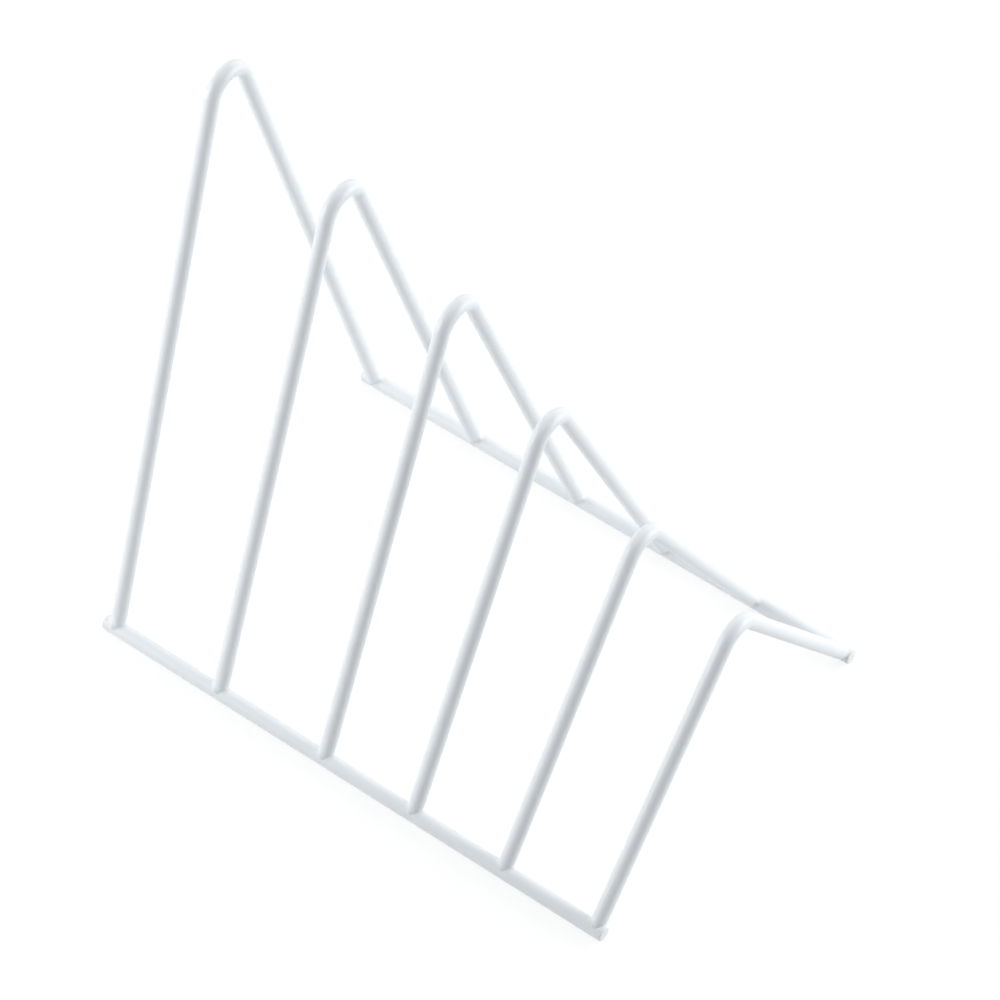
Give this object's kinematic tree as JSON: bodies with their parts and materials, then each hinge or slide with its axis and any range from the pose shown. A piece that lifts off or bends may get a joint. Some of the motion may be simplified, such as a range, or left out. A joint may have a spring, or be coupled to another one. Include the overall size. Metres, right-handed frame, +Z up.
{
  "type": "wire book stand",
  "caption": "Free-standing wire book stand: upside-down V hoops of falling height, welded upright across two base rails, hold books on edge between them.",
  "frame": {"origin": "on the desk, under the middle of the stand", "axes": "+X along the rails from the tallest hoop to the shortest, +Y from the front rail to the rear rail, +Z up"},
  "size_m": [0.1926, 0.135, 0.1955],
  "materials": {
    "hoops": "satin white powder coat on round steel wire",
    "rails": "satin white powder coat on round steel wire",
    "welds": "white powder coat over a small steel weld"
  },
  "bodies": {
    "root": {"hoop_1": "hoops", "hoop_2": "hoops", "hoop_3": "hoops", "hoop_4": "hoops", "hoop_5": "hoops", "hoop_6": "hoops", "front_rail": "rails", "rear_rail": "rails", "weld_front_1": "welds", "weld_front_2": "welds", "weld_front_3": "welds", "weld_front_4": "welds", "weld_front_5": "welds", "weld_front_6": "welds", "weld_rear_1": "welds", "weld_rear_2": "welds", "weld_rear_3": "welds", "weld_rear_4": "welds", "weld_rear_5": "welds", "weld_rear_6": "welds"}
  },
  "joints": []
}
